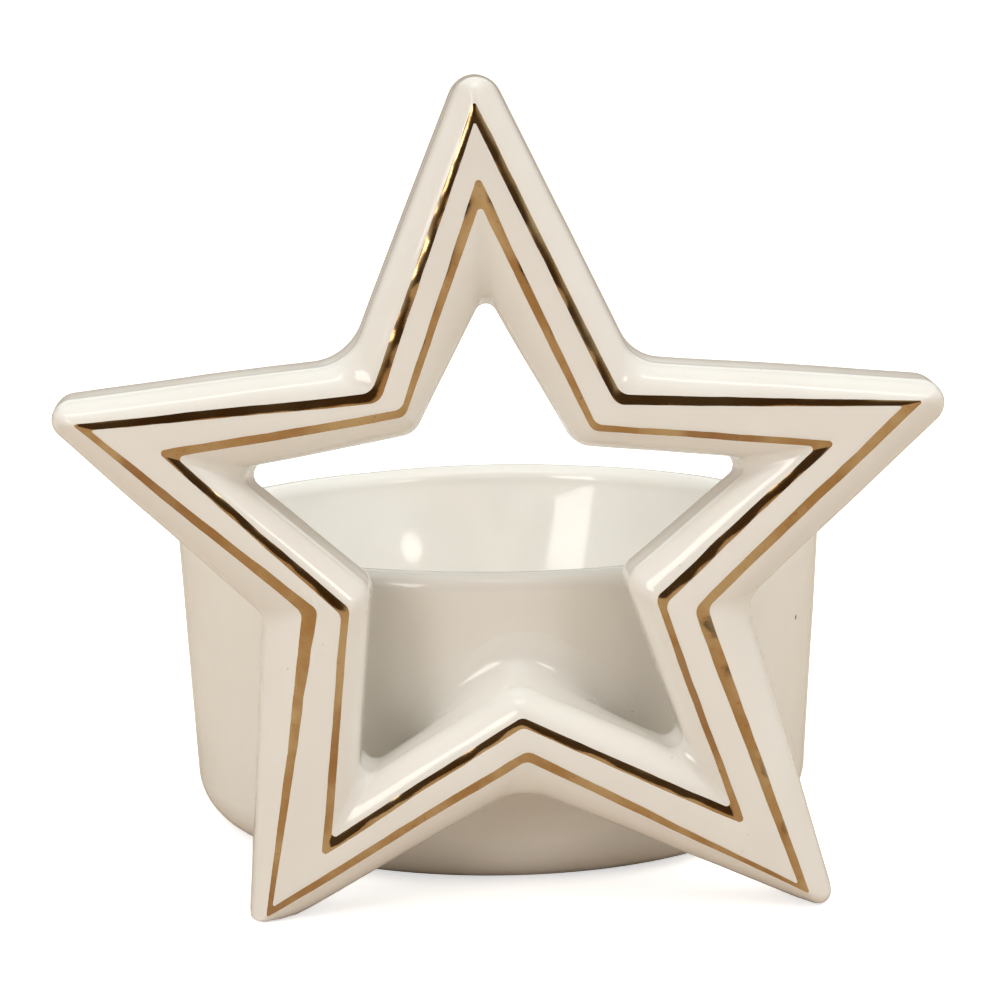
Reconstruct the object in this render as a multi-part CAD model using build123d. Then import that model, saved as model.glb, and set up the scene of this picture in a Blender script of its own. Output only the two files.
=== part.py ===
from build123d import *
from math import cos, radians, sin, tan
import os

# A ceramic tealight holder: an upright hollow star luted to the front of a round candle cup.
# Millimetres, +Z up. The origin is the centre of the cup's foot, on the table; the star faces -Y.

# ---- the star ----
STAR_CENTRE_X = -0.6
STAR_CENTRE_Z = 37.6
STAR_FRONT_Y = -45.0
# The star was modelled by hand, so every corner has its own bearing (degrees), reach (mm) and radius (mm).
# Each ring starts at the top point and goes anticlockwise: point, notch, point, notch ...
OUTER_LINE = [      # the painted line along the outer edge of the face
    (93.5, 44.1, 0.4), (128.5, 20.5, 1.5), (162.0, 44.1, 0.4), (195.0, 20.5, 1.2), (235.5, 43.8, 0.4),
    (274.5, 20.7, 1.2), (310.0, 46.2, 0.4), (343.0, 20.1, 1.2), (19.5, 43.0, 0.4), (54.0, 18.9, 1.5),
]
OUTER_SIDE = [      # where the outer sides stand furthest out
    (93.0, 51.4, 2.8), (128.8, 24.9, 6.0), (162.0, 50.7, 2.4), (194.3, 25.7, 4.0), (236.3, 49.0, 1.8),
    (272.5, 25.0, 8.0), (310.9, 52.1, 1.7), (346.6, 25.2, 4.0), (18.6, 50.5, 2.8), (55.6, 23.1, 4.6),
]
INNER_LINE = [      # the painted line along the window edge of the face
    (93.7, 36.4, 0.5), (125.0, 17.6, 1.2), (162.2, 35.3, 0.5), (198.5, 17.2, 1.2), (237.7, 35.2, 0.5),
    (274.0, 17.3, 1.0), (310.0, 36.0, 0.5), (341.5, 16.0, 1.2), (18.2, 33.6, 0.5), (55.5, 15.3, 1.2),
]
WINDOW_SIDE = [     # where the window's sides stand furthest in
    (93.8, 25.8, 1.1), (127.3, 14.7, 2.6), (162.7, 28.3, 1.4), (194.1, 14.0, 2.2), (237.1, 27.9, 1.4),
    (273.4, 13.7, 3.0), (310.2, 28.2, 1.3), (345.6, 11.9, 2.2), (18.9, 26.5, 1.3), (56.1, 12.4, 2.6),
]
# The bar's section: depth behind the face, and how far its sides have gone from the painted lines (0)
# to their widest (1). It is flat in front, rounds over, flares gently and rounds in again at the back.
BAR_SECTION = [
    (0.0, 0.18), (0.5, 0.46), (1.5, 0.74), (3.0, 0.91), (6.6, 1.0), (8.0, 0.86), (8.8, 0.56),
]
BAR_DEPTH = BAR_SECTION[-1][0]

# ---- the painted lines ----
LINE_HALF_WIDTH = 0.15      # as a share of the way from a line to the widest side
LINE_THICKNESS = 0.1

# ---- the cup ----
CUP_HEIGHT = 33.8
RIM_RADIUS = 36.4
WALL = 3.6
WALL_TAPER = 0.055          # radius lost per millimetre below the rim
HEEL_RADIUS = 5.5
FLOOR_THICKNESS = 4.0
WELL_CORNER_RADIUS = 3.0
# The well's wall is bowed below the lip, then runs straight down to the width that a tealight stands in.
WELL_CURVE_RADIUS = 55.0
WELL_TOP_LEAN = 12.0        # degrees inwards at the lip
WELL_LOW_LEAN = 23.0        # degrees inwards from the end of the bow to the floor

# ---- the slip that bonds the star's lowest notch to the cup's wall ----
BOND_CENTRE = (1.0, 18.0)   # x and z, behind the notch
BOND_WIDTH = 19.0
BOND_HEIGHT = 18.0
BOND_BACK_Y = -33.2
LEDGE_WIDTH = 16.0          # the ledge of slip over the notch's upper side
LEDGE_RISE = 0.7            # as a share beyond the window's widest side
LEDGE_DEPTH = 3.4

STEP_TOLERANCE = 0.01


def ring_between(line, side, share, depth):
    """The rounded star outline that lies a share of the way from a painted line to a side."""
    corners, radii = [], []
    for (bearing_a, reach_a, radius_a), (bearing_b, reach_b, radius_b) in zip(line, side):
        near = Vector(reach_a * cos(radians(bearing_a)), reach_a * sin(radians(bearing_a)))
        far = Vector(reach_b * cos(radians(bearing_b)), reach_b * sin(radians(bearing_b)))
        corner = near + (far - near) * share
        corners.append((STAR_CENTRE_X + corner.X, STAR_FRONT_Y + depth, STAR_CENTRE_Z + corner.Y))
        radii.append(max(radius_a + (radius_b - radius_a) * share, 0.1))
    return Wire(FilletPolyline(*corners, radius=radii, close=True).edges())


def star_frame():
    """The hollow star, standing on the flats of its two lower points."""
    body = Solid.make_loft([ring_between(OUTER_LINE, OUTER_SIDE, s, d) for d, s in BAR_SECTION], ruled=True)
    window = Solid.make_loft([ring_between(INNER_LINE, WINDOW_SIDE, s, d) for d, s in BAR_SECTION], ruled=True)
    table = Pos(0, STAR_FRONT_Y, -10) * Box(200, 60, 20)
    return body - window - table


def painted_line(line, side):
    """A thin band centred on one painted line, on the star's face."""
    wider = Face(ring_between(line, side, LINE_HALF_WIDTH, 0))
    narrower = Face(ring_between(line, side, -LINE_HALF_WIDTH, 0))
    band = wider - narrower if wider.area > narrower.area else narrower - wider
    return extrude(band, amount=LINE_THICKNESS, dir=(0, -1, 0))


def well_curve_point(top, lean):
    """The point of the well's bowed wall where it leans this many degrees inwards, below the lip at top."""
    start, end = radians(WELL_TOP_LEAN), radians(lean)
    inwards = WELL_CURVE_RADIUS * (cos(start) - cos(end))
    drop = WELL_CURVE_RADIUS * (sin(end) - sin(start))
    return top[0] - inwards, top[1] - drop


def cup_profile():
    """Half of the cup's section, from the centre of its underside round to the centre of its floor."""
    lip = WALL / 2
    foot = (RIM_RADIUS - WALL_TAPER * CUP_HEIGHT, 0)
    outer_top = (RIM_RADIUS - WALL_TAPER * lip, CUP_HEIGHT - lip)
    inner_top = (outer_top[0] - WALL, outer_top[1])
    crown = (outer_top[0] - lip, CUP_HEIGHT)
    well_middle, well_low = (
        well_curve_point(inner_top, lean) for lean in ((WELL_TOP_LEAN + WELL_LOW_LEAN) / 2, WELL_LOW_LEAN)
    )
    cone_run = (well_low[1] - FLOOR_THICKNESS) * tan(radians(WELL_LOW_LEAN))
    well_bottom = (well_low[0] - cone_run, FLOOR_THICKNESS)
    outside = Polyline((0, 0), foot, outer_top)
    lip_round = ThreePointArc(outer_top, crown, inner_top)
    bowl = ThreePointArc(inner_top, well_middle, well_low)
    inside = Polyline(well_low, well_bottom, (0, FLOOR_THICKNESS), (0, 0))
    return make_face(outside + lip_round + bowl + inside)


def rings_at(shape, height):
    """The circular edges at one height."""
    rings = shape.edges().filter_by(GeomType.CIRCLE)
    return rings.filter_by_position(Axis.Z, height - STEP_TOLERANCE, height + STEP_TOLERANCE)


def candle_cup():
    """The open cup: tapered wall, rounded lip and heel, and a well that narrows to a tealight's width."""
    cup = revolve(Plane.XZ * cup_profile(), Axis.Z)
    cup = fillet(rings_at(cup, 0), HEEL_RADIUS)
    return fillet(rings_at(cup, FLOOR_THICKNESS), WELL_CORNER_RADIUS)


def slip_block(depth, width):
    """A band of slip, from a depth behind the star's face back to the cup, cut to a width at the notch."""
    outside = Face(ring_between(OUTER_LINE, OUTER_SIDE, 0.2, depth))
    inside = Face(ring_between(INNER_LINE, WINDOW_SIDE, 1 + LEDGE_RISE, depth))
    length = BOND_BACK_Y - STAR_FRONT_Y - depth
    band = extrude(outside - inside, amount=length, dir=(0, 1, 0))
    centre_x, centre_z = BOND_CENTRE
    return band & Pos(centre_x, BOND_BACK_Y - length / 2, centre_z) * Box(width, length, BOND_HEIGHT)


def luting_joint(frame, cup):
    """The slip between the star's back and the cup, with a ledge over the notch's upper side."""
    slip = slip_block(BAR_DEPTH, BOND_WIDTH) + slip_block(BAR_DEPTH - LEDGE_DEPTH, LEDGE_WIDTH)
    return slip - frame - cup


def save(name, shape):
    """Write one node's STEP."""
    shape.label = name
    export_step(shape, f"parts/{name}.step")


if __name__ == "__main__":
    os.makedirs("parts", exist_ok=True)
    frame = star_frame()
    cup = candle_cup()
    save("star_frame", frame)
    save("candle_cup", cup)
    save("luting_joint", luting_joint(frame, cup))
    save("outer_gold_line", painted_line(OUTER_LINE, OUTER_SIDE))
    save("inner_gold_line", painted_line(INNER_LINE, WINDOW_SIDE))
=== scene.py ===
"""Looks for a ceramic tealight holder: a hollow star, luted to the front of a round candle cup.

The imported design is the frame. Every piece here is built in its millimetres and its axes: the origin is
the centre of the cup's foot, +Z is up, and the star faces -Y.
"""
from __future__ import annotations

import logging
import math
from dataclasses import dataclass
from enum import Enum
from typing import Mapping, Sequence

import bmesh
import bpy
import numpy as np
from mathutils import Matrix, Vector, noise
from mathutils.bvhtree import BVHTree

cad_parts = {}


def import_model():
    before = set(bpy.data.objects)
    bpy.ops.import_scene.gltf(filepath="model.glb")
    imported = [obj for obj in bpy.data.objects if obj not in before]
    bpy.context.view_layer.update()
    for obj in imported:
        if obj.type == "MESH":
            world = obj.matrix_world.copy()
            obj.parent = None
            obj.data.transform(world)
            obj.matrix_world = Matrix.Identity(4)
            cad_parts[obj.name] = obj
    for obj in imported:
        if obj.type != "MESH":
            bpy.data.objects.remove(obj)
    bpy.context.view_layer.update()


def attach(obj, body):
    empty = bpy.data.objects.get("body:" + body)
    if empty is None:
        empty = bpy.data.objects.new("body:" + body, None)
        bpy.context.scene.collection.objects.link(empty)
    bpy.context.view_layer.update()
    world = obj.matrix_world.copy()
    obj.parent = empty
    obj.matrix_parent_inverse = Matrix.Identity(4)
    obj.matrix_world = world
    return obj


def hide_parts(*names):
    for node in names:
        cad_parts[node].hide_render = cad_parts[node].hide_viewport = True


MM = 0.001
WELD = 1e-7
TINY = 1e-9
BODY = "root"
LOG = logging.getLogger("tealight_holder")
Corners = Sequence[tuple[float, float, float]]


# ------------------------------------------------------------------ shader maths


class Shade:
    """A socket that takes part in shader sums written as Python expressions."""

    def __init__(self, bench: "Bench", socket: bpy.types.NodeSocket) -> None:
        """Wrap one output socket of a node on a bench."""
        self.bench = bench
        self.socket = socket

    def _sum(self, operation: str, *terms: "Shade | float") -> "Shade":
        """Add one Math node for an operation on these terms, in their order."""
        inputs = dict(enumerate(terms))
        return self.bench.add("ShaderNodeMath", {"operation": operation}, inputs)

    def __add__(self, other: "Shade | float") -> "Shade":
        """Sum of two values."""
        return self._sum("ADD", self, other)

    def __sub__(self, other: "Shade | float") -> "Shade":
        """Difference of two values."""
        return self._sum("SUBTRACT", self, other)

    def __mul__(self, other: "Shade | float") -> "Shade":
        """Product of two values."""
        return self._sum("MULTIPLY", self, other)

    def __truediv__(self, other: "Shade | float") -> "Shade":
        """Quotient of two values."""
        return self._sum("DIVIDE", self, other)

    def __rsub__(self, other: float) -> "Shade":
        """A plain number minus this value."""
        return self._sum("SUBTRACT", other, self)

    __radd__ = __add__
    __rmul__ = __mul__

    def over(self, edge: float, soft: float) -> "Shade":
        """A mask that rises from 0 to 1 as this value passes an edge.

        Args:
            edge: the value at the middle of the rise.
            soft: how wide the rise is.

        Returns:
            The mask, clamped to 0 and 1.
        """
        settings = {"interpolation_type": "SMOOTHSTEP"}
        limits = {"Value": self, "From Min": edge - soft / 2, "From Max": edge + soft / 2}
        return self.bench.add("ShaderNodeMapRange", settings, limits)

    def spread(self, low: float, high: float) -> "Shade":
        """This 0 to 1 value stretched between two others."""
        return self * (high - low) + low


class Bench:
    """A node tree being built: it adds nodes and wires them together."""

    def __init__(self, tree: bpy.types.NodeTree) -> None:
        """Work on a node tree."""
        self.tree = tree

    def add(
        self,
        kind: str,
        settings: Mapping[str, object] | None = None,
        inputs: Mapping[str | int, object] | None = None,
        output: str | int = 0,
    ) -> Shade:
        """Add one node.

        Args:
            kind: the node's type.
            settings: its own settings, which are set first.
            inputs: values or links for its sockets, by name or place.
            output: which of its outputs is wanted.

        Returns:
            The wanted output.
        """
        node = self.tree.nodes.new(kind)
        for key, value in (settings or {}).items():
            setattr(node, key, value)
        for key, value in (inputs or {}).items():
            socket = node.inputs[key]
            if isinstance(value, Shade):
                self.tree.links.new(value.socket, socket)
            else:
                socket.default_value = value
        return Shade(self, node.outputs[output])

    def place(self) -> Shade:
        """The point on the surface, in metres, in the frame's axes."""
        return self.add("ShaderNodeTexCoord", output="Object")

    def grain(self, size: float, detail: float = 2.0, rough: float = 0.5, seed: float = 0.0) -> Shade:
        """Soft noise from 0 to 1.

        Args:
            size: the size of its lumps, in millimetres.
            detail: how many finer layers it has.
            rough: how strong the finer layers are.
            seed: moves the pattern.

        Returns:
            The noise.
        """
        settings = {"noise_dimensions": "4D"}
        inputs = {"Vector": self.place(), "Scale": 1.0 / (size * MM), "Detail": detail}
        return self.add("ShaderNodeTexNoise", settings, {**inputs, "Roughness": rough, "W": seed})

    def blend(self, mask: Shade | float, first: object, second: object) -> Shade:
        """Mix two colours.

        Args:
            mask: how much of the second colour is taken, 0 to 1.
            first: the colour where the mask is 0.
            second: the colour where the mask is 1.

        Returns:
            The mixed colour.
        """
        settings = {"data_type": "RGBA"}
        inputs = {0: mask, 6: _opaque(first), 7: _opaque(second)}
        return self.add("ShaderNodeMix", settings, inputs, output=2)

    def near(self, point: tuple[float, float, float], radius: float, soft: float) -> Shade:
        """A round spot on the surface.

        Args:
            point: its middle, in millimetres.
            radius: its radius, in millimetres.
            soft: how wide its edge is, in millimetres.

        Returns:
            A mask that is 1 inside the spot.
        """
        apart = self.add(
            "ShaderNodeVectorMath",
            {"operation": "DISTANCE"},
            {0: self.place(), 1: tuple(c * MM for c in point)},
            output="Value",
        )
        return 1 - apart.over(radius * MM, soft * MM)

    def bump(self, height: Shade, strength: float, depth: float, under: Shade | None = None) -> Shade:
        """Small relief that the light sees.

        Args:
            height: the relief, 0 to 1.
            strength: how much of it is used.
            depth: what 1 stands for, in millimetres.
            under: an earlier relief that this one lies on.

        Returns:
            The bent normal.
        """
        inputs = {"Strength": strength, "Distance": depth * MM, "Height": height}
        if under is not None:
            inputs["Normal"] = under
        return self.add("ShaderNodeBump", None, inputs)


class FinishBench(Bench):
    """A material being mixed."""

    def __init__(self, name: str) -> None:
        """Start an empty material with an output.

        Args:
            name: the material's name.
        """
        self.material = bpy.data.materials.new(name)
        self.material.use_nodes = True
        super().__init__(self.material.node_tree)
        self.tree.nodes.clear()
        self.end = self.tree.nodes.new("ShaderNodeOutputMaterial")

    def finish(self, sockets: Mapping[str, object]) -> bpy.types.Material:
        """Wire a Principled shader to the output.

        Args:
            sockets: its values and links, by name.

        Returns:
            The finished material.
        """
        shader = self.add("ShaderNodeBsdfPrincipled", None, sockets)
        self.tree.links.new(shader.socket, self.end.inputs["Surface"])
        return self.material


def _opaque(colour: object) -> object:
    """A colour with full alpha, or a link as it is."""
    return colour if isinstance(colour, Shade) else (*colour, 1.0)


# ------------------------------------------------------------------ finishes


@dataclass(frozen=True)
class Glaze:
    """Glossy warm white glaze over pale clay."""

    name: str
    seed: float = 0.0
    full: tuple[float, float, float] = (0.845, 0.824, 0.775)
    thin: tuple[float, float, float] = (0.812, 0.778, 0.722)
    speck: tuple[float, float, float] = (0.10, 0.055, 0.03)
    speck_at: tuple[float, float, float] | None = None

    def mix(self) -> bpy.types.Material:
        """Mix the glaze: uneven tone, fine ripple, rare pinholes and a clear bright coat.

        Returns:
            The glaze's material.
        """
        bench = FinishBench(self.name)
        cloud = bench.grain(22.0, 3.0, 0.55, self.seed)
        mottle = bench.grain(3.2, 4.0, 0.6, self.seed + 3.0)
        tone = bench.blend(cloud.over(0.52, 0.3) * 0.75, self.full, self.thin)
        tone = bench.blend(mottle.over(0.62, 0.25) * 0.16, tone, self.thin)
        dust = bench.grain(0.55, 0.0, 0.0, self.seed + 7.0).over(0.885, 0.03)
        tone = bench.blend(dust * 0.25, tone, self.speck)
        if self.speck_at is not None:
            tone = bench.blend(bench.near(self.speck_at, 0.28, 0.2) * 0.9, tone, self.speck)
        ripple = bench.bump(bench.grain(9.0, 1.0, 0.4, self.seed + 11.0), 0.5, 0.45)
        peel = bench.bump(bench.grain(1.1, 2.0, 0.5, self.seed + 17.0), 0.12, 0.02, ripple)
        return bench.finish({
            "Base Color": tone,
            "Roughness": mottle.spread(0.07, 0.15),
            "IOR": 1.52,
            "Coat Weight": 0.6,
            "Coat Roughness": 0.025,
            "Coat IOR": 1.5,
            "Subsurface Weight": 0.08,
            "Subsurface Radius": (0.0016, 0.0012, 0.0009),
            "Subsurface Scale": 1.0,
            "Normal": peel,
        })


@dataclass(frozen=True)
class GoldLustre:
    """Fired gold lustre laid on with a brush: bright metal, thinner and browner at its edges."""

    name: str
    seed: float = 0.0
    rich: tuple[float, float, float] = (0.44, 0.255, 0.10)
    pale: tuple[float, float, float] = (0.59, 0.43, 0.23)
    thin: tuple[float, float, float] = (0.30, 0.13, 0.05)

    def mix(self) -> bpy.types.Material:
        """Mix the lustre with brush streaks, thin patches and a little relief.

        Returns:
            The lustre's material.
        """
        bench = FinishBench(self.name)
        streak = bench.grain(6.0, 3.0, 0.6, self.seed)
        patch = bench.grain(14.0, 2.0, 0.5, self.seed + 4.0)
        fine = bench.grain(0.5, 3.0, 0.6, self.seed + 2.0)
        tone = bench.blend(streak.over(0.5, 0.35), self.rich, self.pale)
        tone = bench.blend(patch.over(0.6, 0.16) * 0.55, tone, self.thin)
        tone = bench.blend(fine.over(0.66, 0.12) * 0.6, tone, self.thin)
        wave = bench.bump(bench.grain(4.5, 1.0, 0.4, self.seed + 6.0), 0.6, 0.7)
        relief = bench.bump(fine, 0.25, 0.02, wave)
        return bench.finish({
            "Base Color": tone,
            "Metallic": 1.0,
            "Roughness": fine.spread(0.07, 0.16),
            "Normal": relief,
        })


@dataclass(frozen=True)
class BareClay:
    """Unglazed fired clay, where the foot was wiped clean."""

    name: str
    clay: tuple[float, float, float] = (0.70, 0.63, 0.54)
    stain: tuple[float, float, float] = (0.52, 0.43, 0.34)

    def mix(self) -> bpy.types.Material:
        """Mix the clay with a sandy grain and rubbed stains.

        Returns:
            The clay's material.
        """
        bench = FinishBench(self.name)
        sand = bench.grain(0.35, 3.0, 0.7, 1.0)
        rub = bench.grain(8.0, 4.0, 0.6, 5.0)
        tone = bench.blend(rub.over(0.58, 0.2) * 0.6, self.clay, self.stain)
        tone = bench.blend(sand.over(0.7, 0.1) * 0.4, tone, self.stain)
        return bench.finish({
            "Base Color": tone,
            "Roughness": sand.spread(0.75, 0.95),
            "Normal": bench.bump(sand, 0.5, 0.05),
        })


@dataclass(frozen=True)
class Paper:
    """The pale sweep that the holder stands on, which gives back only a warm half light."""

    name: str
    tone: tuple[float, float, float] = (0.90, 0.90, 0.89)
    glow: float = 0.62
    darkest: float = 0.985
    bounce: tuple[float, float, float] = (0.64, 0.54, 0.445)

    def mix(self) -> bpy.types.Material:
        """Mix a matt pale paper with the faintest mottle.

        Returns:
            The paper's material.
        """
        bench = FinishBench(self.name)
        mottle = bench.grain(60.0, 2.0, 0.5)
        darker = tuple(c * self.darkest for c in self.tone)
        seen = bench.add("ShaderNodeLightPath", output="Is Camera Ray")
        pale = bench.blend(mottle, self.tone, darker)
        return bench.finish({
            "Base Color": bench.blend(seen, self.bounce, pale),
            "Roughness": 0.7,
            "Specular IOR Level": 0.1,
            "Emission Color": (1.0, 1.0, 1.0, 1.0),
            "Emission Strength": seen * self.glow,
        })


# ------------------------------------------------------------------ meshes


def mesh_piece(name: str, points: np.ndarray, faces: Sequence[Sequence[int]]) -> bpy.types.Object:
    """Make a smooth piece from points in millimetres.

    Args:
        name: the piece's name.
        points: rows of x, y, z.
        faces: rows of point numbers.

    Returns:
        The new object, with its faces turned outwards.
    """
    mesh = bpy.data.meshes.new(name)
    mesh.from_pydata((np.asarray(points) * MM).tolist(), [], [tuple(map(int, f)) for f in faces])
    shell = bmesh.new()
    shell.from_mesh(mesh)
    bmesh.ops.remove_doubles(shell, verts=shell.verts, dist=WELD)
    bmesh.ops.recalc_face_normals(shell, faces=shell.faces)
    shell.to_mesh(mesh)
    shell.free()
    mesh.shade_smooth()
    piece = bpy.data.objects.new(name, mesh)
    bpy.context.scene.collection.objects.link(piece)
    return piece


def ring_faces(loops: int, steps: int) -> list[tuple[int, int, int, int]]:
    """Faces of a closed skin made of closed loops, each joined to the next and the last to the first.

    Args:
        loops: how many loops there are.
        steps: how many points each loop has.

    Returns:
        Four point numbers for each face.
    """
    faces = []
    for loop in range(loops):
        after = (loop + 1) % loops
        for step in range(steps):
            onward = (step + 1) % steps
            row, next_row = loop * steps, after * steps
            faces.append((row + step, row + onward, next_row + onward, next_row + step))
    return faces


def skin_normals(grid: np.ndarray) -> np.ndarray:
    """Unit normals of a strip of points whose rows close on themselves.

    Args:
        grid: rows by columns by x, y, z.

    Returns:
        One unit normal for each point, all on the same side of the skin.
    """
    along = np.roll(grid, -1, axis=1) - np.roll(grid, 1, axis=1)
    normals = np.cross(along, np.gradient(grid, axis=0))
    lengths = np.linalg.norm(normals, axis=2, keepdims=True)
    return normals / np.maximum(lengths, TINY)


def hand_ripple(points: np.ndarray, lump: float, seed: float) -> np.ndarray:
    """Slow noise from about -1 to 1 at each point.

    Args:
        points: an array whose last axis is x, y, z in millimetres.
        lump: the size of its lumps, in millimetres.
        seed: moves the pattern.

    Returns:
        One value for each point.
    """
    flat = points.reshape(-1, 3) / lump + seed
    values = [noise.noise(Vector(row)) for row in flat.tolist()]
    return np.array(values).reshape(points.shape[:-1])


class Side(Enum):
    """The two sides of the star's bar."""

    OUTER = "outer"
    WINDOW = "window"


@dataclass
class StarFrame:
    """The hollow star: a bar with a flat face, rounded edges and sides that flare towards the back."""

    centre: tuple[float, float] = (-0.6, 37.6)
    front: float = -45.0
    face_share: float = -0.30
    round_share: float = 0.93
    round_depth: float = 3.6
    widest_depth: float = 6.6
    bar_depth: float = 8.8
    back_share: float = 0.5
    edge_softness: float = 1.0
    wave: float = 0.10
    wave_lumps: tuple[float, float] = (15.0, 6.0)
    fine_wave: float = 0.4
    wave_seeds: tuple[float, float, float] = (2.0, 9.0, 5.0)
    foot_softness: float = 0.35
    arc_steps: int = 12
    side_steps: int = 18
    face_steps: int = 6
    edge_steps: int = 20
    flare_steps: int = 5
    back_steps: int = 8
    # corners of the rings: bearing in degrees, reach and corner radius in millimetres
    outer_line: Corners = (
        (93.5, 44.1, 0.15), (128.5, 20.5, 1.5), (162.0, 44.1, 0.15), (195.0, 20.5, 1.2), (235.8, 44.0, 0.15),
        (274.5, 20.7, 1.2), (310.0, 46.2, 0.15), (343.0, 20.1, 1.2), (19.6, 43.0, 0.15), (54.0, 18.9, 1.5),
    )
    outer_side: Corners = (
        (93.0, 51.4, 2.8), (128.8, 24.9, 6.0), (162.0, 50.7, 2.4), (194.3, 25.7, 4.0), (236.3, 49.0, 1.8),
        (272.5, 25.0, 8.0), (310.9, 52.1, 1.7), (346.6, 25.2, 4.0), (18.6, 50.5, 2.8), (55.6, 23.1, 4.6),
    )
    inner_line: Corners = (
        (93.7, 36.4, 0.35), (125.0, 17.6, 1.2), (162.2, 35.3, 0.35), (198.5, 17.2, 1.2), (237.7, 35.2, 0.35),
        (274.0, 17.3, 1.0), (309.8, 36.1, 0.35), (341.5, 16.0, 1.2), (18.3, 33.6, 0.35), (55.5, 15.3, 1.2),
    )
    window_side: Corners = (
        (93.8, 25.8, 1.1), (127.3, 14.7, 2.6), (162.7, 28.3, 1.4), (194.1, 14.0, 2.2), (237.1, 27.9, 1.4),
        (273.4, 13.7, 3.0), (310.2, 28.2, 1.3), (345.6, 11.9, 2.2), (18.9, 26.5, 1.3), (56.1, 12.4, 2.6),
    )

    def ring(self, side: Side, share: float) -> np.ndarray:
        """A rounded star outline between a painted line (0) and where that side is widest (1).

        Args:
            side: which side of the bar.
            share: how far from the line to the widest, and a little beyond either.

        Returns:
            Rows of x, z in millimetres, the same number for every ring.
        """
        line, widest = self._corners(side)
        near, far = (np.array([self._spot(corner) for corner in ring]) for ring in (line, widest))
        spots = near + (far - near) * share
        growth = max(share, 0.0) ** 2
        radii = [a[2] + (b[2] - a[2]) * growth for a, b in zip(line, widest)]
        arcs = [self._arc(spots[i - 1], spots[i], spots[(i + 1) % 10], radii[i]) for i in range(10)]
        rows = []
        for arc, following in zip(arcs, arcs[1:] + arcs[:1]):
            rows.extend(arc)
            steps = np.linspace(0, 1, self.side_steps + 1)[1:-1, None]
            rows.extend(arc[-1] + (following[0] - arc[-1]) * steps)
        return np.array(rows)

    def _corners(self, side: Side) -> tuple[Corners, Corners]:
        """The painted line's corners and the widest corners of one side."""
        outer = side is Side.OUTER
        return (self.outer_line, self.outer_side) if outer else (self.inner_line, self.window_side)

    def _spot(self, corner: tuple[float, float, float]) -> tuple[float, float]:
        """The x and z of a corner given by bearing and reach."""
        angle, reach = math.radians(corner[0]), corner[1]
        return self.centre[0] + reach * math.cos(angle), self.centre[1] + reach * math.sin(angle)

    def _arc(self, before: np.ndarray, at: np.ndarray, after: np.ndarray, radius: float) -> np.ndarray:
        """Round off one corner.

        Args:
            before: the x and z of the corner before it.
            at: its own x and z.
            after: the x and z of the corner after it.
            radius: how round it is.

        Returns:
            Rows of x, z round the corner.
        """
        back = (before - at) / np.linalg.norm(before - at)
        onward = (after - at) / np.linalg.norm(after - at)
        half = math.acos(float(np.clip(back @ onward, -1, 1))) / 2
        middle = (back + onward) / np.linalg.norm(back + onward)
        hub = at + middle * radius / math.sin(half)
        start = at + back * radius / math.tan(half) - hub
        end = at + onward * radius / math.tan(half) - hub
        sweep = math.pi - 2 * half
        turns = np.linspace(0, 1, self.arc_steps + 1)[:, None]
        return hub + (np.sin((1 - turns) * sweep) * start + np.sin(turns * sweep) * end) / math.sin(sweep)

    def depth_at(self, share: np.ndarray) -> np.ndarray:
        """How far behind the face the rounded front edge is.

        Args:
            share: how far from the painted line to the widest, up to the end of the rounding.

        Returns:
            The depths, in millimetres.
        """
        beyond = np.clip((share - self.face_share) / (self.round_share - self.face_share), 0, 1)
        turn = np.arcsin(beyond ** (1 / self.edge_softness))
        return self.round_depth * (1 - np.cos(turn) ** self.edge_softness)

    def _half_section(self) -> list[tuple[float, float]]:
        """One side of the bar's section, from the face to the back.

        Returns:
            Pairs of share and depth.
        """
        turns = np.linspace(0, math.pi / 2, self.edge_steps + 1)
        rise = self.round_share - self.face_share
        shares = self.face_share + rise * np.sin(turns) ** self.edge_softness
        front = list(zip(shares, self.round_depth * (1 - np.cos(turns) ** self.edge_softness)))
        flares = np.linspace(0, 1, self.flare_steps + 1)[1:]
        shares = self.round_share + (1 - self.round_share) * np.sin(flares * math.pi / 2)
        flare = list(zip(shares, self.round_depth + (self.widest_depth - self.round_depth) * flares))
        bends = np.linspace(0, math.pi / 2, self.back_steps + 1)[1:]
        shares = self.back_share + (1 - self.back_share) * np.cos(bends)
        back = list(zip(shares, self.widest_depth + (self.bar_depth - self.widest_depth) * np.sin(bends)))
        return front + flare + back

    def _level(self, side: Side, share: float, depth: float) -> np.ndarray:
        """One closed ring of points at a depth behind the face."""
        flat = self.ring(side, share)
        return np.column_stack([flat[:, 0], np.full(len(flat), self.front + depth), flat[:, 1]])

    def settle(self, points: np.ndarray) -> np.ndarray:
        """Give points the slow unevenness of hand work and the flats that the feet stand on.

        Args:
            points: an array whose last axis is x, y, z in millimetres.

        Returns:
            The points, moved by an amount that depends only on where they are.
        """
        slow, fine = self.wave_lumps
        drifts = [
            hand_ripple(points, slow, seed) + self.fine_wave * hand_ripple(points, fine, seed)
            for seed in self.wave_seeds
        ]
        moved = points + np.stack(drifts, axis=-1) * self.wave
        height = moved[..., 2]
        moved[..., 2] = (height + np.sqrt(height ** 2 + self.foot_softness ** 2)) / 2
        return moved

    def skin(self) -> np.ndarray:
        """Lay out the whole bar.

        Returns:
            A grid of points: loops along the section, steps round the star.
        """
        section = self._half_section()
        outer = [self._level(Side.OUTER, share, depth) for share, depth in section]
        inner = [self._level(Side.WINDOW, share, depth) for share, depth in section]
        mixes = np.linspace(0, 1, self.face_steps + 1)[1:-1]
        back = [outer[-1] + (inner[-1] - outer[-1]) * mix for mix in mixes]
        face = [inner[0] + (outer[0] - inner[0]) * mix for mix in mixes]
        return self.settle(np.array(outer + back + inner[::-1] + face))

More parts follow.
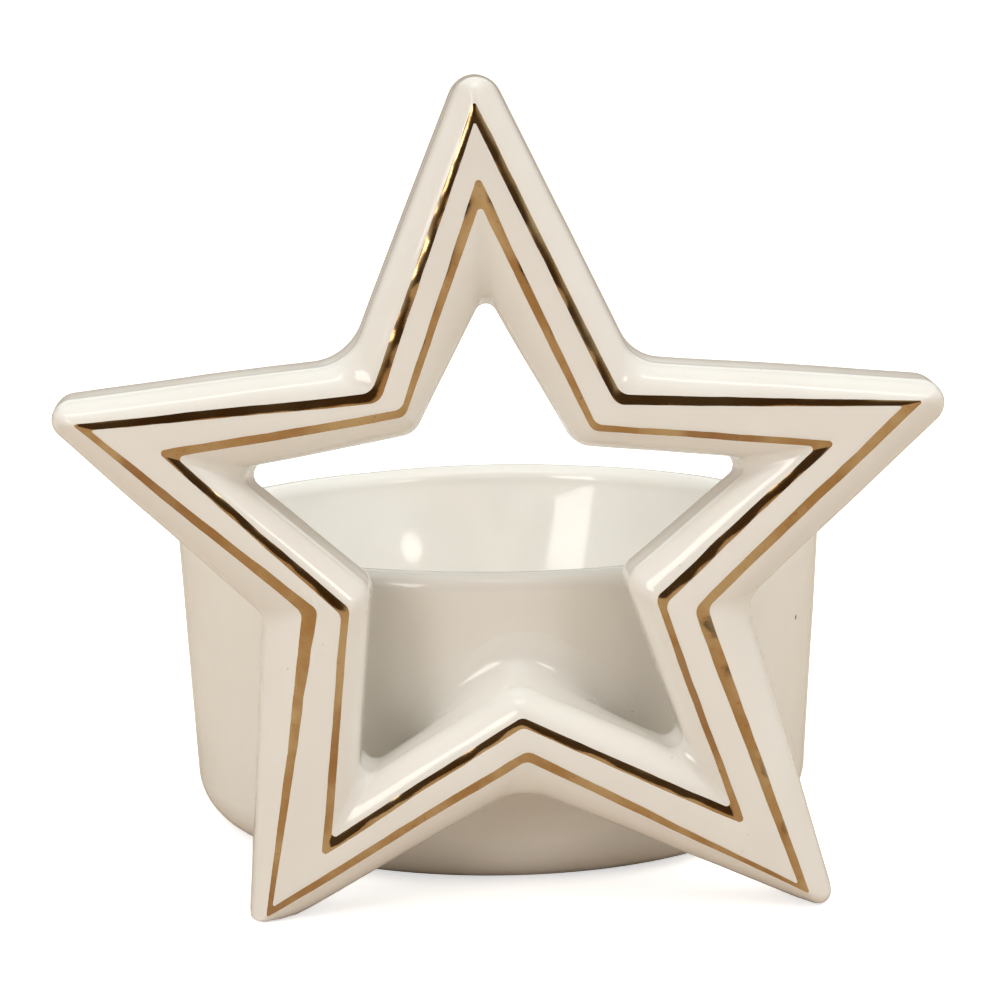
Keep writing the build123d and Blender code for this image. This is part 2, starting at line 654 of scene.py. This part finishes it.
    def build(self, finish: bpy.types.Material) -> bpy.types.Object:
        """Build the star and dress it.

        Args:
            finish: its glaze.

        Returns:
            The star.
        """
        grid = self.skin()
        loops, steps = grid.shape[:2]
        piece = mesh_piece("star_body", grid.reshape(-1, 3), ring_faces(loops, steps))
        piece.data.materials.append(finish)
        return dress(piece, "star_glaze", "star_frame")


def dress(piece: bpy.types.Object, slot: str, *nodes: str) -> bpy.types.Object:
    """Let a piece ride on the holder and stand for its nodes.

    Args:
        piece: the piece.
        slot: not used.
        nodes: the design's nodes that it stands for.

    Returns:
        The same piece.
    """
    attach(piece, BODY)
    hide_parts(*nodes)
    return piece


@dataclass
class GoldLine:
    """A brushed line of lustre that follows the edge of the star's face and wraps onto its rounding."""

    star: StarFrame
    side: Side
    node: str
    slot: str
    half_width: float = 0.150
    seed: float = 0.0
    film: float = 0.026
    edge_sink: float = 0.006
    sink: float = 0.05
    across: int = 13
    reach: float = 0.30
    rings: int = 25
    drift: float = 0.02
    edge_wander: float = 0.13
    width_wander: float = 0.12
    edge_angle: float = 60.0

    def _wander(self, path: np.ndarray, lump: float, seed: float) -> np.ndarray:
        """Slow noise along the line, from about -1 to 1."""
        spots = np.column_stack([path[:, 0], np.zeros(len(path)), path[:, 1]])
        return hand_ripple(spots, lump, seed)

    def surface(self) -> np.ndarray:
        """Find where the brush touched.

        Returns:
            A grid of points on the star's skin, across and along the line, before the star is settled.
        """
        stops = np.linspace(-self.reach, self.reach, self.rings)
        rings = np.array([self.star.ring(self.side, stop) for stop in stops])
        middle = rings[self.rings // 2]
        slow = self._wander(middle, 12.0, self.seed + 40.0)
        centre = self.drift * self._wander(middle, 7.0, self.seed)
        steps = np.arange(len(middle))
        rows = []
        for lean in np.linspace(-1, 1, self.across):
            edge = self._wander(middle, 2.2, self.seed + 20.0 + 5.0 * math.copysign(1, lean))
            width = self.half_width * (1 + self.edge_wander * edge + self.width_wander * slow)
            share = centre + lean * width
            place = (share + self.reach) / (2 * self.reach) * (self.rings - 1)
            below = np.clip(place.astype(int), 0, self.rings - 2)
            mix = (place - below)[:, None]
            flat = rings[below, steps] * (1 - mix) + rings[below + 1, steps] * mix
            depth = self.star.front + self.star.depth_at(share)
            rows.append(np.column_stack([flat[:, 0], depth, flat[:, 1]]))
        return np.array(rows)

    def build(self, finish: bpy.types.Material) -> bpy.types.Object:
        """Build the film as a closed strip, thickest along its middle, and dress it.

        Args:
            finish: its lustre.

        Returns:
            The film.
        """
        grid = self.star.settle(self.surface())
        normals = skin_normals(grid)
        normals = normals if normals[:, :, 1].mean() < 0 else -normals
        leans = np.linspace(-1, 1, self.across)[:, None, None]
        crown = self.film * (1 - leans ** 2) - self.edge_sink
        top = grid + normals * crown
        under = grid - normals * self.sink
        rows = np.concatenate([top, under[::-1]])
        loops, steps = rows.shape[:2]
        piece = mesh_piece(f"{self.node}_film", rows.reshape(-1, 3), ring_faces(loops, steps))
        piece.data.set_sharp_from_angle(angle=math.radians(self.edge_angle))
        piece.data.materials.append(finish)
        return dress(piece, self.slot, self.node)


@dataclass
class CandleCup:
    """The round cup behind the star: tapered wall, full rounded lip, rounded heel and a flat bare foot."""

    height: float = 33.8
    rim_radius: float = 36.4
    wall: float = 3.6
    taper: float = 0.055
    heel: float = 5.5
    floor: float = 4.0
    well_corner: float = 3.0
    well_curve: float = 55.0
    top_lean: float = 12.0
    low_lean: float = 23.0
    wave: float = 0.12
    wave_lumps: tuple[float, float] = (20.0, 7.0)
    fine_wave: float = 0.35
    rim_wave: float = 0.10
    foot_depth: float = 0.05
    segments: int = 288

    def wall_radius(self, height: float | np.ndarray) -> float | np.ndarray:
        """The outer wall's radius at a height."""
        return self.rim_radius - self.taper * (self.height - height)

    def profile(self) -> np.ndarray:
        """Draw the section that the cup is turned from.

        Returns:
            Rows of radius and height, from the middle of the foot out, up, over the lip and into the well.
        """
        lean = math.atan(self.taper)
        lip = self.wall / 2
        lip_height = self.height - lip
        foot = float(self.wall_radius(self.heel)) - self.heel
        rows = [(foot * share, 0.0) for share in np.linspace(0.02, 1, 16)]
        rows += self._turn((foot, self.heel), self.heel, -90, math.degrees(-lean), 14)[1:]
        heel_top = rows[-1][1]
        rows += [(float(self.wall_radius(z)), z) for z in np.linspace(heel_top, lip_height, 18)[1:]]
        rim_hub = float(self.wall_radius(lip_height)) - lip
        rows += self._turn((rim_hub, lip_height), lip, 0, 180 - self.top_lean * 0.6, 18)[1:]
        rows += self._bowl(rim_hub - lip, lip_height)
        return np.array(rows)

    def _bowl(self, top_radius: float, top_height: float) -> list[tuple[float, float]]:
        """Draw the well below the lip: a bowed wall, then a cone, then the floor that a candle stands on.

        Args:
            top_radius: the well's radius at the lip.
            top_height: how high that is.

        Returns:
            Rows of radius and height.
        """
        start, end = math.radians(self.top_lean), math.radians(self.low_lean)
        in_by, up_by = self.well_curve * math.cos(start), self.well_curve * math.sin(start)
        hub = (top_radius - in_by, top_height + up_by)
        rows = self._turn(hub, self.well_curve, -self.top_lean, -self.low_lean, 16)
        low_radius, low_height = rows[-1]
        corner = low_radius - (low_height - self.floor) * math.tan(end)
        set_in = self.well_corner * math.tan((math.pi / 2 - end) / 2)
        flat = corner - set_in
        bend = self._turn((flat, self.floor + self.well_corner), self.well_corner, -self.low_lean, -90, 9)
        rows += self._run(rows[-1], bend[0], 12)[1:]
        rows += bend[1:]
        rows += self._run((flat, self.floor), (0.5, self.floor), 14)[1:]
        return rows

    @staticmethod
    def _run(start: tuple[float, float], end: tuple[float, float], steps: int) -> list[tuple[float, float]]:
        """Evenly spaced points from start to end."""
        return [tuple(np.array(start) + (np.array(end) - start) * t) for t in np.linspace(0, 1, steps)]

    @staticmethod
    def _turn(
        hub: tuple[float, float], radius: float, first: float, last: float, steps: int
    ) -> list[tuple[float, float]]:
        """Draw an arc of the profile.

        Args:
            hub: the radius and height of its centre.
            radius: its own radius.
            first: the bearing that it starts at, in degrees from straight out.
            last: the bearing that it ends at.
            steps: how many points it has.

        Returns:
            Rows of radius and height.
        """
        bearings = np.radians(np.linspace(first, last, steps))
        return [(hub[0] + radius * math.cos(b), hub[1] + radius * math.sin(b)) for b in bearings]

    def skin(self) -> np.ndarray:
        """Turn the profile round the cup's axis, with the slow unevenness of hand work.

        Returns:
            A grid of points: rows up the profile, steps round the cup.
        """
        profile = self.profile()
        turns = np.linspace(0, 2 * math.pi, self.segments, endpoint=False)
        radius, height = profile[:, :1], profile[:, 1:]
        grid = np.stack([
            radius * np.cos(turns), radius * np.sin(turns), np.repeat(height, self.segments, axis=1),
        ], axis=2)
        slow, fine = self.wave_lumps
        swell = hand_ripple(grid, slow, 31.0) + self.fine_wave * hand_ripple(grid, fine, 37.0)
        high = np.clip(grid[..., 2] / self.height, 0, 1)[..., None]
        outward = np.concatenate([grid[..., :2], np.zeros_like(grid[..., :1])], axis=2)
        outward /= np.maximum(np.linalg.norm(outward, axis=2, keepdims=True), TINY)
        grid = grid + outward * (swell * self.wave)[..., None] * high
        grid[..., 2] += self.rim_wave * swell * high[..., 0] ** 4
        return grid

    def build(self, glaze: bpy.types.Material, bare: bpy.types.Material) -> bpy.types.Object:
        """Build the cup, glazed all over but for its foot.

        Args:
            glaze: the finish of its walls and well.
            bare: the finish of its foot.

        Returns:
            The cup.
        """
        grid = self.skin()
        rows, steps = grid.shape[:2]
        faces = ring_faces(rows, steps)[:-steps]
        faces.append(tuple(range(steps)))
        faces.append(tuple(range((rows - 1) * steps, rows * steps)))
        piece = mesh_piece("cup_body", grid.reshape(-1, 3), faces)
        for finish in (glaze, bare):
            piece.data.materials.append(finish)
        foot = float(self.wall_radius(self.heel)) - self.heel
        for face in piece.data.polygons:
            centre = face.center / MM
            if centre.z < self.foot_depth and math.hypot(centre.x, centre.y) < foot:
                face.material_index = 1
        return dress(piece, "cup_glaze", "candle_cup")


@dataclass
class LutingJoint:
    """Slip between the star's back and the cup, smoothed with a finger into a soft fillet."""

    star: StarFrame
    cup: CandleCup
    centre: tuple[float, float] = (1.2, 19.5)
    span: tuple[float, float] = (16.5, 15.0)
    fillet: float = 7.5
    fade_power: float = 0.6
    least_reach: float = 0.05
    reach_used: float = 0.97
    key: float = 1.0
    sink: float = 0.012
    cell: float = 0.36
    low: tuple[float, float, float] = (-16.0, -43.0, 6.0)
    high: tuple[float, float, float] = (18.4, -29.0, 33.0)

    def _lattice(self) -> np.ndarray:
        """The points that the solid is measured at."""
        axes = [np.arange(a, b, self.cell) for a, b in zip(self.low, self.high)]
        return np.stack(np.meshgrid(*axes, indexing="ij"), axis=-1)

    def _from_star(self, points: np.ndarray, star_piece: bpy.types.Object) -> np.ndarray:
        """Measure how far points are from the star's skin.

        Args:
            points: an array whose last axis is x, y, z in millimetres.
            star_piece: the star.

        Returns:
            The distances, below 0 inside the star.
        """
        mesh = star_piece.data
        corners = [vertex.co / MM for vertex in mesh.vertices]
        tree = BVHTree.FromPolygons(corners, [tuple(face.vertices) for face in mesh.polygons])
        values = []
        for row in points.reshape(-1, 3).tolist():
            spot = Vector(row)
            found, normal, _, gap = tree.find_nearest(spot)
            values.append(math.copysign(gap, (spot - found).dot(normal)))
        return np.array(values).reshape(points.shape[:-1])

    def _from_cup(self, points: np.ndarray) -> np.ndarray:
        """Measure how far points are from the cup's outer wall.

        Args:
            points: an array whose last axis is x, y, z in millimetres.

        Returns:
            The distances, below 0 inside the wall.
        """
        radius = np.hypot(points[..., 0], points[..., 1])
        slope = math.cos(math.atan(self.cup.taper))
        return (radius - self.cup.wall_radius(points[..., 2])) * slope

    def _fields(self, star_piece: bpy.types.Object, points: np.ndarray) -> tuple[np.ndarray, np.ndarray]:
        """Blend the distances to the star and the cup.

        Args:
            star_piece: the star.
            points: the lattice.

        Returns:
            The field whose skin is the smoothed joint, and the field of the closed piece of slip under it.
        """
        star_gap = self._from_star(points, star_piece)
        cup_gap = self._from_cup(points)
        away_x = (points[..., 0] - self.centre[0]) / self.span[0]
        away_z = (points[..., 2] - self.centre[1]) / self.span[1]
        fade = np.clip(1 - (away_x ** 2 + away_z ** 2), 0, 1)
        reach = np.maximum(self.fillet * fade ** self.fade_power, self.least_reach)
        apart = np.abs(star_gap - cup_gap)
        overlap = np.maximum(reach - apart, 0) / reach
        blended = np.minimum(star_gap, cup_gap) - overlap ** 3 * reach / 6
        solid = np.maximum.reduce([
            blended + self.sink, apart - self.reach_used * reach,
            -(star_gap + self.key), -(cup_gap + self.key),
        ])
        return blended, solid

    def build(self, star_piece: bpy.types.Object, finish: bpy.types.Material) -> bpy.types.Object:
        """Draw the solid's skin through the lattice and dress it.

        Args:
            star_piece: the star.
            finish: the slip's glaze.

        Returns:
            The joint.
        """
        points = self._lattice()
        blended, solid = self._fields(star_piece, points)
        corners, faces = skin_of_field(fill_pinches(solid, self.cell / 10), points)
        piece = mesh_piece("slip_fillet", corners, faces)
        self._smooth_light(piece, blended)
        piece.data.materials.append(finish)
        return dress(piece, "slip_glaze", "luting_joint")

    def _smooth_light(self, piece: bpy.types.Object, blended: np.ndarray) -> None:
        """Take the fillet's shading from its field, so that it meets the star and the cup unseen.

        Args:
            piece: the joint.
            blended: the field whose slope gives the shading.
        """
        slopes = np.stack(np.gradient(blended, self.cell), axis=-1)
        mesh = piece.data
        spots = np.array([vertex.co for vertex in mesh.vertices]) / MM
        places = (spots - np.array(self.low)) / self.cell
        whole = np.clip(np.floor(places).astype(int), 0, np.array(slopes.shape[:3]) - 2)
        part = places - whole
        total = np.zeros_like(spots)
        for corner in np.ndindex(2, 2, 2):
            weight = np.prod(np.where(np.array(corner) == 1, part, 1 - part), axis=1)
            at = whole + np.array(corner)
            total += slopes[at[:, 0], at[:, 1], at[:, 2]] * weight[:, None]
        total /= np.maximum(np.linalg.norm(total, axis=1, keepdims=True), TINY)
        mesh.normals_split_custom_set_from_vertices(total.tolist())


def fill_pinches(values: np.ndarray, depth: float) -> np.ndarray:
    """Fill a lattice field where its inside meets itself only corner to corner, for a clean skin.

    Args:
        values: the field, below 0 inside.
        depth: how far inside a filled point is set.

    Returns:
        The filled field.
    """
    filled = values.copy()
    found = True
    while found:
        found = False
        for first, second in ((0, 1), (0, 2), (1, 2)):
            views = []
            for shift in np.ndindex(2, 2):
                cut = [slice(None)] * 3
                cut[first], cut[second] = (slice(1, None) if step else slice(0, -1) for step in shift)
                views.append(filled[tuple(cut)])
            for one, gap, other_gap, other in (views, [views[1], views[0], views[3], views[2]]):
                pinched = (one < 0) & (other < 0) & (gap >= 0) & (other_gap >= 0)
                gap[pinched] = -depth
                found = found or bool(pinched.any())
    return filled


def skin_of_field(
    field_values: np.ndarray, points: np.ndarray
) -> tuple[np.ndarray, list[tuple[int, ...]]]:
    """The skin where a field on a lattice passes 0: one corner in each crossed cell, faces between them.

    Args:
        field_values: the field, below 0 inside.
        points: the lattice's points.

    Returns:
        The skin's corners and its four-sided faces.
    """
    inside = field_values < 0
    shape = np.array(field_values.shape) - 1
    total, count = np.zeros((*shape, 3)), np.zeros(tuple(shape))
    offsets = list(np.ndindex(2, 2, 2))
    for first in offsets:
        for axis in range(3):
            if first[axis]:
                continue
            second = tuple(1 if k == axis else first[k] for k in range(3))
            a, b = (tuple(slice(o, o + n) for o, n in zip(corner, shape)) for corner in (first, second))
            crossed = inside[a] != inside[b]
            gap = field_values[a] - field_values[b]
            share = np.where(crossed, field_values[a] / np.where(gap == 0, 1, gap), 0)
            total += np.where(crossed[..., None], points[a] + (points[b] - points[a]) * share[..., None], 0)
            count += crossed
    used = count > 0
    number = np.full(tuple(shape), -1)
    number[used] = np.arange(used.sum())
    corners = total[used] / count[used][:, None]
    faces: list[tuple[int, ...]] = []
    for axis in range(3):
        others = [k for k in range(3) if k != axis]
        here = [slice(1, -1)] * 3
        here[axis] = slice(0, -1)
        there = list(here)
        there[axis] = slice(1, None)
        crossed = inside[tuple(here)] != inside[tuple(there)]
        for cell in np.argwhere(crossed):
            base = cell + np.array([0 if k == axis else 1 for k in range(3)])
            quad = []
            for du, dv in ((0, 0), (1, 0), (1, 1), (0, 1)):
                spot = base.copy()
                spot[others[0]] -= du
                spot[others[1]] -= dv
                quad.append(int(number[tuple(spot)]))
            faces.append(tuple(quad))
    return corners, faces


# ------------------------------------------------------------------ the studio


class LampShape(Enum):
    """The outline of a lamp's face."""

    PANEL = "RECTANGLE"
    DISC = "ELLIPSE"


class LampUse(Enum):
    """What a lamp's light does when it meets a surface: whether it softly lights it and mirrors in it."""

    ALL = (True, True)
    SOFT = (True, False)
    GLINT = (False, True)


@dataclass(frozen=True)
class Softbox:
    """One soft lamp, aimed at the holder from a bearing and a height round it."""

    name: str
    bearing: float
    rise: float
    away: float
    size: tuple[float, float]
    power: float
    tint: tuple[float, float, float] = (1.0, 1.0, 1.0)
    shape: LampShape = LampShape.PANEL
    use: LampUse = LampUse.ALL

    def set_up(self, target: Vector) -> bpy.types.Object:
        """Hang the lamp.

        Args:
            target: the point it is aimed at, in metres.

        Returns:
            The lamp. Bearings run from straight in front of the star, anticlockwise seen from above.
        """
        lamp = bpy.data.lights.new(self.name, "AREA")
        lamp.shape = self.shape.value
        lamp.size, lamp.size_y = self.size
        lamp.energy = self.power
        lamp.color = self.tint
        rig = bpy.data.objects.new(self.name, lamp)
        bearing, rise = math.radians(self.bearing), math.radians(self.rise)
        level = math.cos(rise)
        out = Vector((math.sin(bearing) * level, -math.cos(bearing) * level, math.sin(rise)))
        rig.location = target + out * self.away
        rig.rotation_euler = (-out).to_track_quat("-Z", "Y").to_euler()
        rig.visible_camera = False
        rig.visible_diffuse, rig.visible_glossy = self.use.value
        bpy.context.scene.collection.objects.link(rig)
        return rig


@dataclass
class Studio:
    """A pale paper sweep, soft lamps and the camera."""

    camera_at: tuple[float, float, float] = (-0.01202, -0.345, 0.0954)
    turn: float = 2.04
    dip: float = 9.87
    lean: float = -0.85
    lens: float = 110.5
    surround: float = 0.61
    room_tone: tuple[float, float, float] = (1.0, 0.965, 0.90)
    dark_tone: tuple[float, float, float] = (0.13, 0.09, 0.055)
    dark_rise: float = 0.30
    dark_edge: float = 0.80
    dark_soft: float = 0.26
    target: tuple[float, float, float] = (0.0, 0.0, 0.04)
    sweep_front: float = -1.2
    sweep_back: float = 0.75
    sweep_radius: float = 0.5
    sweep_width: float = 3.2
    sweep_top: float = 1.5
    clearance: float = 0.00006
    lamps: Sequence[Softbox] = (
        Softbox("ceiling", 0, 90, 0.85, (1.00, 0.90), 0.90, (0.72, 0.98, 1.0)),
        Softbox("ceiling_strip", 0, 70, 0.80, (0.60, 0.05), 0.36),
        Softbox("back_top", 180, 35, 0.90, (1.20, 0.40), 1.1, (0.82, 0.97, 1.0)),
        Softbox("high_left", -60, 55, 0.80, (0.40, 0.30), 1.05, use=LampUse.SOFT),
        Softbox("high_right", 60, 55, 0.80, (0.40, 0.30), 1.45, use=LampUse.SOFT),
        Softbox("left_window", -37, 23, 0.80, (0.225, 0.34), 0.85, (1.0, 0.94, 0.88)),
        Softbox("right_lamp", 41, 27, 0.80, (0.13, 0.12), 0.15, (1.0, 0.97, 0.88), LampShape.DISC),
        Softbox("window_glint", -37, 23, 0.80, (0.225, 0.34), 0.85, (1.0, 0.97, 0.92), use=LampUse.GLINT),
        Softbox(
            "lamp_glint", 41, 27, 0.80, (0.13, 0.12), 0.20, (1.0, 0.97, 0.90), LampShape.DISC, LampUse.GLINT
        ),
        Softbox("low_left", -47, 14, 0.80, (0.25, 0.30), 0.72, (0.98, 0.98, 1.0), use=LampUse.SOFT),
        Softbox("low_right", 47, 14, 0.80, (0.25, 0.30), 0.80, (0.98, 0.98, 1.0), use=LampUse.SOFT),
        Softbox("right_side", 90, 20, 0.80, (0.40, 0.40), 0.20, use=LampUse.SOFT),
    )

    def place_camera(self) -> None:
        """Stand the camera in front of the star, a little above it, and look through it."""
        turn, dip, lean = (math.radians(angle) for angle in (self.turn, self.dip, self.lean))
        ahead = Vector((math.sin(turn) * math.cos(dip), math.cos(turn) * math.cos(dip), -math.sin(dip)))
        level = Vector((math.cos(turn), -math.sin(turn), 0.0))
        upright = level.cross(ahead)
        right = level * math.cos(lean) + upright * math.sin(lean)
        up = upright * math.cos(lean) - level * math.sin(lean)
        lens = bpy.data.cameras.new("camera")
        lens.lens = self.lens
        lens.sensor_width = 36.0
        lens.clip_start = 0.01
        stand = bpy.data.objects.new("camera", lens)
        stand.matrix_world = Matrix.Translation(self.camera_at) @ Matrix(
            [(right[k], up[k], -ahead[k]) for k in range(3)]
        ).to_4x4()
        bpy.context.scene.collection.objects.link(stand)
        bpy.context.scene.camera = stand

    def lay_sweep(self, finish: bpy.types.Material) -> None:
        """Lay the paper on the table and up behind the holder in one curve.

        Args:
            finish: the paper's finish.
        """
        bends = np.linspace(0, math.pi / 2, 16)
        low = -self.clearance
        side = [(self.sweep_front, low)]
        side += [
            (self.sweep_back + self.sweep_radius * math.sin(b), low + self.sweep_radius * (1 - math.cos(b)))
            for b in bends
        ]
        side.append((self.sweep_back + self.sweep_radius, self.sweep_top))
        half = self.sweep_width / 2
        points = [(x, y, z) for y, z in side for x in (-half, half)]
        faces = [(2 * k, 2 * k + 1, 2 * k + 3, 2 * k + 2) for k in range(len(side) - 1)]
        sweep = mesh_piece("paper_sweep", np.array(points) / MM, faces)
        sweep.data.materials.append(finish)

    def room(self) -> bpy.types.World:
        """Mix the light of the room: pale all round, dark where somebody stands in front of the star.

        Returns:
            The room's world.
        """
        world = bpy.data.worlds.new("room")
        world.use_nodes = True
        bench = Bench(world.node_tree)
        back = world.node_tree.nodes["Background"]
        way = bench.add("ShaderNodeTexCoord", output="Generated")
        ahead = Vector((0.0, -1.0, self.dark_rise)).normalized()
        turned = {0: way, 1: ahead}
        facing = bench.add("ShaderNodeVectorMath", {"operation": "DOT_PRODUCT"}, turned, "Value")
        shade = bench.blend(facing.over(self.dark_edge, self.dark_soft), self.room_tone, self.dark_tone)
        world.node_tree.links.new(shade.socket, back.inputs["Color"])
        back.inputs["Strength"].default_value = self.surround
        return world

    def light(self) -> None:
        """Hang the lamps and set the faint light of the room."""
        for lamp in self.lamps:
            lamp.set_up(Vector(self.target))
        bpy.context.scene.world = self.room()
        bpy.context.scene.view_settings.view_transform = "Standard"


def main() -> None:
    """Build every piece of the holder round its frame, then the studio."""
    logging.basicConfig(level=logging.INFO, format="%(message)s")
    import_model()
    studio = Studio()
    studio.place_camera()

    star = StarFrame()
    cup = CandleCup()
    star_piece = star.build(Glaze("star_glaze_mix", seed=1.0).mix())
    LOG.info("star: %d faces", len(star_piece.data.polygons))
    cup_glaze = Glaze("cup_glaze_mix", seed=4.0, speck_at=(32.0, -16.2, 24.4))
    cup_piece = cup.build(cup_glaze.mix(), BareClay("bare_foot").mix())
    LOG.info("cup: %d faces", len(cup_piece.data.polygons))
    joint = LutingJoint(star, cup).build(star_piece, Glaze("slip_glaze_mix", seed=1.0).mix())
    LOG.info("slip joint: %d faces", len(joint.data.polygons))
    lines = (
        GoldLine(star, Side.OUTER, "outer_gold_line", "gold_lustre_outer", seed=3.0),
        GoldLine(star, Side.WINDOW, "inner_gold_line", "gold_lustre_inner", seed=8.0),
    )
    for line in lines:
        piece = line.build(GoldLustre(f"{line.node}_mix", seed=line.seed).mix())
        LOG.info("%s: %d faces", line.node, len(piece.data.polygons))

    studio.lay_sweep(Paper("sweep_paper").mix())
    studio.light()


if __name__ == "__main__":
    main()
